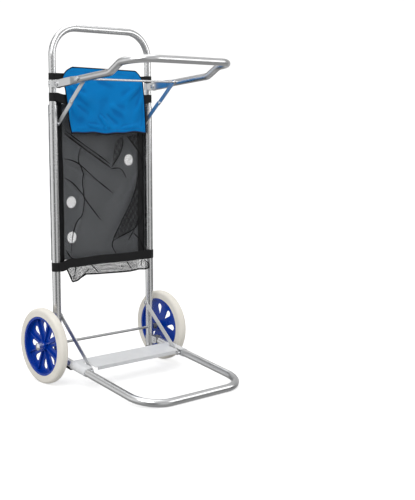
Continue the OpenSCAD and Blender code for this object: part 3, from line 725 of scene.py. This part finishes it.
def band_loop(side, r, count=44):
    """Plan of one loop: it starts under the strap at the front, and comes back over its own start."""
    turn = np.linspace(-100, 270, count)
    radius = r + STRAP_THICK / MM * 1.06 * smooth_step((turn - 150) / 70)
    a = np.radians(turn)
    return [(side * (RAIL_X / MM + d * math.cos(t)), d * math.sin(t)) for d, t in zip(radius, a)]


# How far a band lies above its middle height, for places across the cart.
UPPER_LIFT = ([-180, -166, -140, 140, 166, 180], [3, 3, -3, -3, 3, 3])
LOWER_LIFT = ([-180, -160, -138, 160, 180], [1.5, 1.5, 10, 9.5, 9])
SEAM_HALF = 168  # the seams of a band end this far from its middle


def band_path(r):
    """Plan of a band: round the left upright, straight across the front, round the right upright."""
    left = band_loop(-1, r)
    right = band_loop(1, r)[::-1]
    straight = [(x, left[-1][1]) for x in np.linspace(left[-1][0], right[0][0], 90)[1:-1]]
    return np.array(left + straight + right)


def build_band(name, node, r, middle, width, low_edge, slack, lift):
    """One band of webbing round both uprights; low_edge and slack say how uneven it is."""
    plan = band_path(r)
    along = length_along(plan)
    t = along / along[-1]
    on_front = smooth_step((FRONT_HALF - np.abs(plan[:, 0])) / 25)
    ripple = np.clip(on_front * (0.5 * np.sin(t * 31 + 1) + 0.35 * np.sin(t * 57)) * 0.4, -0.3, 0.4)
    raised = np.interp(plan[:, 0], *lift) + slack * on_front * np.sin(t * 17)
    path = at(plan[:, 0], plan[:, 1] + ripple, middle + raised)
    base = webbing_profile(width * MM, STRAP_THICK, 11)
    rings = np.repeat(base[None], len(plan), axis=0)
    for ring, x in zip(rings, plan[:, 0]):
        ring[ring[:, 1] < 0, 1] *= 1 + low_edge * math.exp(-((abs(x) - FRONT_HALF) / 16) ** 2)
    parts = Parts()
    parts.add(*swept(path, (0, 0, 1), rings))
    for off in (-0.40, 0.40):
        line = path + np.array([0, -0.48 * MM, off * width * MM])
        front = [p for p, (x, y) in zip(line, plan) if abs(x) < SEAM_HALF and y < -r]
        stitch_run(parts, front, (0, -1, 0), gap=3.6 * MM, r=0.25 * MM, kind=1)
    band = parts.piece(name, [webbing, thread_black], "frame")
    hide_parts(node)


BAG_STRAPS = [  # side, lower and upper edge at the upright, x of the tip, its lower and upper edge
    (-1, 872, 891, 136, 876, 891), (1, 871, 892, 136, 874, 890)]
STRAP_BOX = [(155, 878), (140, 880), (140, 888), (155, 887), (155, 878)]  # box stitch, x and z


def build_bag_straps():
    parts = Parts()
    r = HANDLE_R / MM + BAND_OFF
    start_x = RAIL_X / MM - 2
    for side, low, high, tip_x, tip_low, tip_high in BAG_STRAPS:
        loop = band_loop(side, r, 52)
        tab_y = loop[-1][1]
        tab = [(side * x, tab_y) for x in np.linspace(RAIL_X / MM - 3, tip_x, 16)]
        path, rings = [], []
        base = webbing_profile(1.0, STRAP_THICK, 9)
        for x, y in np.array(loop + tab):
            s = smooth_step((start_x - abs(x)) / (start_x - tip_x)) if y <= tab_y + 0.05 else 0.0
            a, b = low + (tip_low - low) * s, high + (tip_high - high) * s
            path.append(at(x, y, (a + b) / 2))
            rings.append(base * np.array([1.0, (b - a) * MM]))
        parts.add(*swept(path, (0, 0, 1), np.array(rings)))
        box = [at(side * x, tab_y, z) + np.array([0, -0.5 * MM, 0]) for x, z in STRAP_BOX]
        stitch_run(parts, rounded_path(box, 1.2 * MM, 0), (0, -1, 0), gap=2.8 * MM,
                   long=2.0 * MM, r=0.25 * MM, kind=1)
    straps = parts.piece("bag_strap_webbing", [webbing, thread_black], "frame")
    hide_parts("bag_straps")


HEM_CUT = 14 * MM  # the hems start this much above the tapes' lower end
HEM_INNER = 138.0
HEM_DEEP = 8.7


def build_side_hems():
    """Doubled tapes that run up inside the rails and carry the net's sides."""
    low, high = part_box("side_tapes")
    low.z += HEM_CUT
    inner, outer = HEM_INNER, high.x / MM
    width = outer - inner
    z = np.linspace(low.z / MM, high.z / MM, 90)
    for side, label in ((-1, "left"), (1, "right")):
        wob = 1.4 * np.sin(z / 61 + side) + 0.8 * np.sin(z / 23)
        path = at(side * ((inner + outer) / 2), HEM_DEEP + 0.25 * np.sin(z / 37), z)
        base = webbing_profile(1.0, 1.1 * MM, 9)
        rings = np.repeat(base[None], len(z), axis=0)
        for ring, w in zip(rings, wob):
            v = ring[:, 1]
            half = width / 2
            ring[:, 1] = np.where(v * -side > 0, v * 2 * (half + w * 0.8), v * 2 * half) * MM
        parts = Parts()
        parts.add(*swept(path, (1, 0, 0), rings))
        for off in (-0.4, 0.4):
            line = path + np.array([off * width * MM, -0.62 * MM, 0])
            stitch_run(parts, line[2:-2], (0, -1, 0), gap=4.2 * MM, r=0.25 * MM, kind=1)
        hem = parts.piece("side_hem_" + label, [black_cloth, thread_black], "frame")
        if side < 0:
            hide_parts("side_tapes")


# --- net bag

# Places in millimetres, as for the front bag. The lines are pinched folds, the patches doubled net.
NET_TOP, NET_HALF, BAND_MIDDLE, BACK_TOP = 830, 149, 335, 352
NET_FACE, NET_RANGE = -3.5, (-10.2, 3.0)
CORNER_OUT, CORNER_DOWN, CORNER_FRONT = 13, 4, 14.6  # how the lower right corner pulls round its rail
NET_BOTTOM = ([-150, -140, -129, -117, -100, -88, -68, -27, 20, 60, 98, 125, 140, 150],
              [352, 334, 312, 286, 288, 295, 304, 301, 299, 297, 296, 298, 301, 308])
NET_FOLDS = [
    (-141, 720, 24, 616, 9, 5.0), (-144, 640, 33, 540, 6, 3.0), (-144, 594, -14, 462, 6, 3.0),
    (-85, 683, -97, 644, 6, 3.0), (-75, 611, -82, 479, 7, 3.4), (-82, 479, -125, 373, 7, 3.2),
    (24, 616, 72, 700, 9, 3.4), (87, 705, 150, 642, 8, 3.6), (128, 600, 57, 449, 10, 4.6),
    (57, 449, 23, 397, 9, 4.0), (23, 397, 110, 424, 8, 3.2), (110, 424, 149, 493, 8, 3.4),
    (107, 415, 145, 372, 6, 2.6), (30, 367, 60, 340, 6, 2.2), (-119, 294, -106, 340, 6, 3.0),
    (-92, 296, -60, 325, 6, 2.6), (-54, 333, -27, 306, 6, 2.2), (82, 328, 98, 303, 6, 2.2),
    (0, 800, 60, 740, 14, 2.0), (-60, 790, -20, 730, 14, -2.0), (60, 560, -10, 480, 16, -2.4),
]
NET_LINES = [
    [(-141, 720), (-85, 683), (-31, 650), (24, 616)],
    [(-136, 729), (-80, 692), (-26, 660), (22, 628)],
    [(24, 614), (65, 617), (83, 585)],
    [(26, 620), (61, 656), (71, 685), (72, 712)],
    [(87, 712), (111, 684), (138, 655), (147, 634), (146, 608)],
    [(-85, 683), (-97, 644), (-75, 611), (-82, 575), (-74, 535), (-81, 479), (-99, 468), (-114, 432),
     (-122, 397), (-125, 373)],
    [(-143, 649), (-100, 640), (-62, 611), (-22, 577), (33, 540)],
    [(-144, 594), (-116, 581), (-82, 547), (-59, 510), (-14, 462)],
    [(146, 614), (128, 600), (122, 550), (84, 485), (57, 449), (23, 397), (30, 367), (51, 346)],
    [(23, 397), (62, 410), (110, 424), (137, 452), (146, 493), (142, 549)],
    [(107, 415), (135, 390), (146, 365)],
    [(131, 464), (112, 427), (90, 393)],
    [(-141, 382), (-125, 356), (-90, 351)],
    [(-106, 334), (-119, 292)], [(-92, 296), (-60, 321)], [(-54, 333), (-27, 306)],
    [(82, 328), (98, 303)], [(140, 327), (138, 308)],
]
NET_PATCHES = [
    [(128, 598), (122, 550), (84, 485), (57, 449), (26, 400), (62, 408), (110, 423), (136, 452),
     (144, 493), (140, 549)],
    [(-139, 724), (-85, 688), (-31, 655), (22, 622), (24, 616), (-31, 648), (-85, 681), (-141, 717)],
    [(87, 708), (111, 684), (138, 655), (146, 634), (146, 700), (120, 716)],
    [(28, 622), (61, 656), (71, 685), (72, 712), (46, 700), (34, 660)],
]


def net_depth(x, z):
    """How far in front of the rails' plane the net lies, in millimetres."""
    sides = smooth_step((150 - np.abs(x)) / 14) * smooth_step((828 - z) / 20)
    folds = fold_height(x, z, NET_FOLDS)
    waves = slow_waves(x, z, 8, 120, 9)
    under_band = np.exp(-((z - BAND_MIDDLE) / 16) ** 2)
    relief = (0.85 * folds + 2.6 * waves) * sides * (1 - under_band)
    return np.clip(NET_FACE - relief, *NET_RANGE)


def build_net_grid(nu, nv, back_rows):
    """Points of the net: down the front, and under the lower band up the back."""
    x = -NET_HALF + 2 * NET_HALF * np.linspace(0, 1, nu)
    bottom = np.interp(x, *NET_BOTTOM)
    to_corner = smooth_step((x - 128) / 21)
    rows = []
    for t in np.arange(nv) / (nv - 1):
        z = NET_TOP + (bottom - NET_TOP) * t
        corner = to_corner * smooth_step((330 - z) / 14)
        tuck = smooth_step((t - 0.985) / 0.015)
        y = net_depth(x, z) * (1 - tuck) + 0.5 * tuck
        rows.append(at(x + CORNER_OUT * corner, y * (1 - corner) - CORNER_FRONT * corner,
                       z - CORNER_DOWN * corner))
    for t in np.arange(1, back_rows) / (back_rows - 1):
        z = bottom + (BACK_TOP - bottom) * t
        sag = 5.0 * math.sin(t * math.pi) * np.exp(-((x + 20) / 70) ** 2)
        corner = to_corner * (1 - smooth_step(t / 0.6))
        y = 0.5 + 6.0 * smooth_step(t * 1.4) - (CORNER_FRONT + 0.5) * corner
        rows.append(at(x + CORNER_OUT * corner, y, z - sag * (1 - t) - CORNER_DOWN * corner))
    return x, np.stack(rows, axis=1)


def doubled_patch(outline):
    """Net that lies double: a second layer just in front of the first, filled in from its outline."""
    pts = np.array(outline, float)
    middle = pts.mean(axis=0)
    ring = rounded_path(np.vstack([pts, pts[:1]]), 5.0, 2)[:-1]
    shares = (1, 0.66, 0.33)
    flat = np.vstack([ring * f + middle * (1 - f) for f in shares] + [middle[None]])
    n, m, last = len(ring), len(flat), len(shares) - 1
    sides = []
    for k in range(last):
        for i in range(n):
            j = (i + 1) % n
            sides.append([k * n + i, k * n + j, (k + 1) * n + j, (k + 1) * n + i])
    sides += [[last * n + i, last * n + (i + 1) % n, (last + 1) * n] for i in range(n)]
    faces = sides + [[m + i for i in f][::-1] for f in sides]
    faces += [[(i + 1) % n, i, m + i, m + (i + 1) % n] for i in range(n)]
    y = net_depth(flat[:, 0], flat[:, 1])
    verts = np.vstack([at(flat[:, 0], y - off, flat[:, 1]) for off in (0.9, 0.6)])
    return verts, faces, [(a * MM * 0.94 + 0.0007, c * MM * 0.97) for a, c in flat] * 2


def pinched_fold(line):
    """A raised fold line that tapers to both ends."""
    path = rounded_path(line, 3.0, 3)
    pts = at(path[:, 0], net_depth(path[:, 0], path[:, 1]) - 0.5, path[:, 1])
    along = np.linspace(0, 1, len(pts))
    swell = 0.75 + 0.25 * np.sin(along * 9)
    breadth = 0.5 + 1.5 * np.minimum(1, 5 * np.minimum(along, 1 - along)) * swell
    rings = [round_profile(1.0, 10) * np.array([b, 0.65]) * MM for b in breadth]
    return swept(pts, (0, 1, 0), rings)


def build_net_bag():
    nu, nv, back_rows = 101, 171, 16
    x, p = build_net_grid(nu, nv, back_rows)
    thread = np.stack(np.meshgrid(x * MM, length_along(p[nu // 2]), indexing="ij"), axis=2)
    net = make_piece("net_bag_cloth", cloth_shell(p, 0.35 * MM, thread), [net_cloth], "frame")
    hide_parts("net_bag")

    folded = Parts()
    for outline in NET_PATCHES:
        folded.add(*doubled_patch(outline))
    layers_piece = folded.piece("net_bag_folds", [folded_net], "frame")

    trim = Parts()
    for line in NET_LINES:
        trim.add(*pinched_fold(line))
    for edge, r in ((p[:, nv - 1], 2.3), (p[0, :nv], 1.4), (p[-1, :nv], 1.4), (p[:, 0], 1.6)):
        trim.add(*swept(edge, (0, 1, 0), round_profile(r * MM, 8)))
    piping = trim.piece("net_bag_piping", [thread_black], "frame")


# --- table panel

CUPS = [(-107, -59), (-107, -163), (107, 59), (107, 163)]  # from the board's middle, x and z
CUP_R, CUP_SEAM_R = 17 * MM, 21 * MM
BOARD_THICK, BOARD_ROUND, BOARD_CORNER = 4.2 * MM, 1.3 * MM, 7 * MM
BOARD_GAP = 0.45 * MM
SKIN_DEEP = 0.3 * MM  # points nearer than this to a face belong to that face's cloth


def circle(x, z, r, angles):
    return [(x + r * math.cos(a), z + r * math.sin(a)) for a in angles]


def board_shape(half_w, half_h):
    """Points and faces of a flat board with rounded edges and four cup openings, about its middle."""
    curve = bpy.data.curves.new("table_panel_board", "CURVE")
    curve.dimensions = "2D"
    curve.fill_mode = "BOTH"
    curve.extrude = BOARD_THICK / 2 - BOARD_ROUND
    curve.bevel_depth = BOARD_ROUND
    curve.bevel_resolution = 4
    corner_x, corner_z = half_w - BOARD_ROUND - BOARD_CORNER, half_h - BOARD_ROUND - BOARD_CORNER
    edge = []
    for sx, sz, start in ((1, 1, 0), (-1, 1, 90), (-1, -1, 180), (1, -1, 270)):
        edge += circle(sx * corner_x, sz * corner_z, BOARD_CORNER,
                       np.radians(np.linspace(start, start + 90, 9)))
    round_turn = np.linspace(0, 2 * math.pi, 48, endpoint=False)
    for points in [edge] + [circle(x * MM, z * MM, CUP_R + BOARD_ROUND, round_turn) for x, z in CUPS]:
        spline = curve.splines.new("POLY")
        spline.points.add(len(points) - 1)
        for point, (a, b) in zip(spline.points, points):
            point.co = (a, b, 0, 1)
        spline.use_cyclic_u = True
    board = show(bpy.data.objects.new("table_panel_board", curve))
    bpy.context.view_layer.update()
    solid = bpy.data.meshes.new_from_object(
        board.evaluated_get(bpy.context.evaluated_depsgraph_get()))
    bpy.data.objects.remove(board)
    place, keep, index = {}, [], []
    for vertex in solid.vertices:
        spot = tuple(np.round(np.array(vertex.co, float), 6))
        if spot not in place:
            place[spot] = len(keep)
            keep.append(vertex.co.copy())
        index.append(place[spot])
    faces = [[index[i] for i in poly.vertices] for poly in solid.polygons]
    return keep, [f for f in faces if len(set(f)) == len(f)]


def wrap_shape(side, low_z, high_z):
    """A cloth wrap that follows the outer back quarter of one rail."""
    heights = np.linspace(low_z, high_z, 60)
    angles = np.radians(np.linspace(24, 96, 12))
    verts, thread = [], []
    for z in heights:
        r_out = RAIL_R + (1.75 + 0.2 * math.sin(z * 90)) * MM
        ring = circle(0, 0, r_out, angles) + circle(0, 0, RAIL_R + 0.35 * MM, angles[::-1])
        verts += [(side * (RAIL_X + px), RAIL_Y + py, z) for px, py in ring]
        thread += [(z, j * 1.2 * MM) for j in range(len(ring))]
    faces = ring_faces(len(heights), 2 * len(angles))
    return verts, faces if side > 0 else [f[::-1] for f in faces], thread


def build_panel():
    low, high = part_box("table_panel")
    middle = (low.z + high.z) / 2
    half_w, half_h = RAIL_X, (high.z - low.z) / 2
    front = RAIL_Y + RAIL_R + BOARD_GAP
    back = front + BOARD_THICK
    keep, faces = board_shape(half_w, half_h)
    verts = [(x, front + BOARD_THICK / 2 - z, middle + y) for x, y, z in keep]
    kinds = []
    for f in faces:
        ys = [verts[i][1] for i in f]
        kinds.append(0 if min(ys) > back - SKIN_DEEP else (1 if max(ys) < front + SKIN_DEEP else 2))
    panel = make_piece("table_panel_cloth", (verts, faces, [(x, z) for x, _, z in verts]),
                       [panel_cloth, panel_lining, edge_binding], "frame",
                       smooth=False, face_material=kinds)
    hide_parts("table_panel")

    trim = Parts()
    along_side = np.linspace(0.01, 0.99, 40)
    for y, up in ((front, -1), (back, 1)):
        for w in (8, 15):
            a, b = half_w - w * MM, half_h - w * MM
            ring = np.array([(-a, -b), (a, -b), (a, b), (-a, b), (-a, -b)])
            for start, end in zip(ring[:-1], ring[1:]):
                line = [(*(start + (end - start) * t), y) for t in along_side]
                stitch_run(trim, [(x, y, middle + z) for x, z, y in line], (0, up, 0),
                           gap=4.4 * MM, long=3.0 * MM, r=0.27 * MM)
        for x, z in CUPS:
            ring = circle(x * MM, middle + z * MM, CUP_SEAM_R, np.linspace(0, 2 * math.pi, 72))
            stitch_run(trim, [(a, y, b) for a, b in ring], (0, up, 0), gap=3.8 * MM,
                       long=2.6 * MM, r=0.27 * MM)
    seams = trim.piece("table_panel_stitching", [thread_grey], "frame")

    sleeves = Parts()
    for side in (-1, 1):
        sleeves.add(*wrap_shape(side, low.z + 4 * MM, high.z - 4 * MM))
    wraps = sleeves.piece("table_panel_side_wraps", [edge_binding], "frame")


build_bag_straps()
build_front_bag()
build_band("upper_band_webbing", "upper_band", HANDLE_R / MM + BAND_OFF, middle=821, width=24,
           low_edge=0.15, slack=0.6, lift=UPPER_LIFT)
build_band("lower_band_webbing", "lower_band", RAIL_R / MM + BAND_OFF, middle=BAND_MIDDLE, width=26,
           low_edge=0.10, slack=0.8, lift=LOWER_LIFT)
build_side_hems()
build_net_bag()
build_panel()

# --- studio

HEADING = (0.6756, 0.7373)  # the way the camera looks, across the floor
PAPER_GLOW = 0.62
ROOM_LEVEL = 0.74
CEILING_LOW, CEILING_HIGH, FLOOR_SEEN = 0.42, 0.95, 0.42
SWEEP_FRONT, SWEEP_BACK, SWEEP_HALF, SWEEP_RISE, SWEEP_BEND = -6.0, 2.2, 7.0, 5.0, 1.6


def build_sweep():
    """A pale floor that curves up into a backdrop."""
    profile = [(SWEEP_FRONT, 0.0), (SWEEP_BACK, 0.0)]
    for a in np.linspace(0, math.pi / 2, 14)[1:]:
        profile.append((SWEEP_BACK + SWEEP_BEND * math.sin(a), SWEEP_BEND * (1 - math.cos(a))))
    profile.append((SWEEP_BACK + SWEEP_BEND, SWEEP_RISE))
    turn = Matrix.Rotation(-math.atan2(*HEADING), 3, "Z")
    verts = [tuple(turn @ Vector((x, d, z))) for d, z in profile for x in (-SWEEP_HALF, SWEEP_HALF)]
    faces = [(2 * k, 2 * k + 1, 2 * k + 3, 2 * k + 2) for k in range(len(profile) - 1)]
    mesh = bpy.data.meshes.new("studio_sweep")
    mesh.from_pydata(verts, [], faces)
    mesh.polygons.foreach_set("use_smooth", [True] * len(faces))
    sweep = show(bpy.data.objects.new("studio_sweep", mesh))
    material, tree, shader = new_material("pale_paper")
    seen = tree.nodes.new("ShaderNodeLightPath")
    feed_all(tree, shader, Base_Color=(0.60, 0.60, 0.60), Roughness=0.9, Specular_IOR_Level=0.1,
             Emission_Color=(1, 1, 1),
             Emission_Strength=times(tree, seen.outputs["Is Camera Ray"], PAPER_GLOW))
    clear = tree.nodes.new("ShaderNodeBsdfTransparent")
    both_ways = tree.nodes.new("ShaderNodeMixShader")
    wire(tree, [(seen.outputs["Is Glossy Ray"], both_ways.inputs[0]),
                (shader.outputs[0], both_ways.inputs[1]), (clear.outputs[0], both_ways.inputs[2]),
                (both_ways.outputs[0], tree.nodes["Material Output"].inputs["Surface"])])
    mesh.materials.append(material)


def area_light(name, place, target, size, power):
    light = bpy.data.lights.new(name, "AREA")
    light.shape = "RECTANGLE"
    light.size, light.size_y = size
    light.energy = power
    lamp = show(bpy.data.objects.new(name, light))
    lamp.location = place
    lamp.rotation_euler = (Vector(target) - Vector(place)).to_track_quat("-Z", "Y").to_euler()


ROOM_PANELS = [  # direction round the room in degrees, brightness
    (-180, 1.05), (-166, 0.85), (-150, 0.20), (-132, 0.10), (-116, 0.20), (-100, 0.90),
    (-76, 0.75), (-58, 0.20), (-30, 0.14), (-8, 0.35), (12, 0.70), (52, 0.85), (78, 0.22),
    (104, 0.16), (120, 0.95), (150, 1.25), (180, 1.05)]


def build_air():
    """Room of pale panels with dark gaps between them, so that bare metal has something to show."""
    world = bpy.data.worlds.new("studio_air")
    bpy.context.scene.world = world
    world.use_nodes = True
    tree = world.node_tree
    coords = tree.nodes.new("ShaderNodeTexCoord")
    split = tree.nodes.new("ShaderNodeSeparateXYZ")
    wire(tree, [(coords.outputs["Generated"], split.inputs[0])])
    turn = math_node(tree, "ARCTAN2", split.outputs["Y"], split.outputs["X"])
    ramp = tree.nodes.new("ShaderNodeValToRGB")
    ramp.color_ramp.interpolation = "EASE"
    stops = ramp.color_ramp.elements
    while len(stops) < len(ROOM_PANELS):
        stops.new(0.5)
    for stop, (angle, bright) in zip(stops, ROOM_PANELS):
        stop.position = angle / 360 + 0.5
        stop.color = (bright / 2, bright / 2, bright / 2, 1)
    feed(tree, ramp.inputs[0], math_node(tree, "MULTIPLY_ADD", turn, 0.5 / math.pi, 0.5))
    walls = times(tree, ramp.outputs["Color"], 2.0)
    up = split.outputs["Z"]
    ceiling = remap(tree, up, 0.45, 0.85, CEILING_LOW, CEILING_HIGH)
    over = remap(tree, up, 0.25, 0.50, 0.0, 1.0)
    under = remap(tree, up, -0.45, -0.20, 1.0, 0.0)
    beside = math_node(tree, "SUBTRACT", math_node(tree, "SUBTRACT", 1.0, over), under)
    level = plus(tree, times(tree, walls, beside), times(tree, over, ceiling))
    level = plus(tree, level, times(tree, under, FLOOR_SEEN))
    seen = tree.nodes.new("ShaderNodeLightPath").outputs["Is Camera Ray"]
    unseen = math_node(tree, "SUBTRACT", 1.0, seen)
    level = plus(tree, times(tree, times(tree, level, ROOM_LEVEL), unseen), seen)
    feed_all(tree, tree.nodes["Background"], Color=(1, 1, 1), Strength=level)


bpy.context.scene.view_settings.view_transform = "Standard"
build_sweep()
build_air()
MIDDLE = (0, 0, 0.5)
area_light("key_softbox", (-2.6, -1.6, 2.9), MIDDLE, (2.8, 2.8), 84)
area_light("fill_softbox", (2.4, -2.6, 1.6), MIDDLE, (2.4, 1.8), 26)
area_light("top_softbox", (0.2, 0.6, 3.4), MIDDLE, (2.6, 2.6), 30)

camera_data = bpy.data.cameras.new("camera")
camera_data.lens = 70.6
camera_data.sensor_width = 36
camera_data.sensor_fit = "AUTO"
camera_data.dof.use_dof = False
camera = show(bpy.data.objects.new("camera", camera_data))
camera.location = (-1.7527, -2.2080, 0.7565)
pitch = math.radians(7.5)
look = Vector((HEADING[0] * math.cos(pitch), HEADING[1] * math.cos(pitch), -math.sin(pitch)))
camera.rotation_euler = look.to_track_quat("-Z", "Y").to_euler()
bpy.context.scene.camera = camera
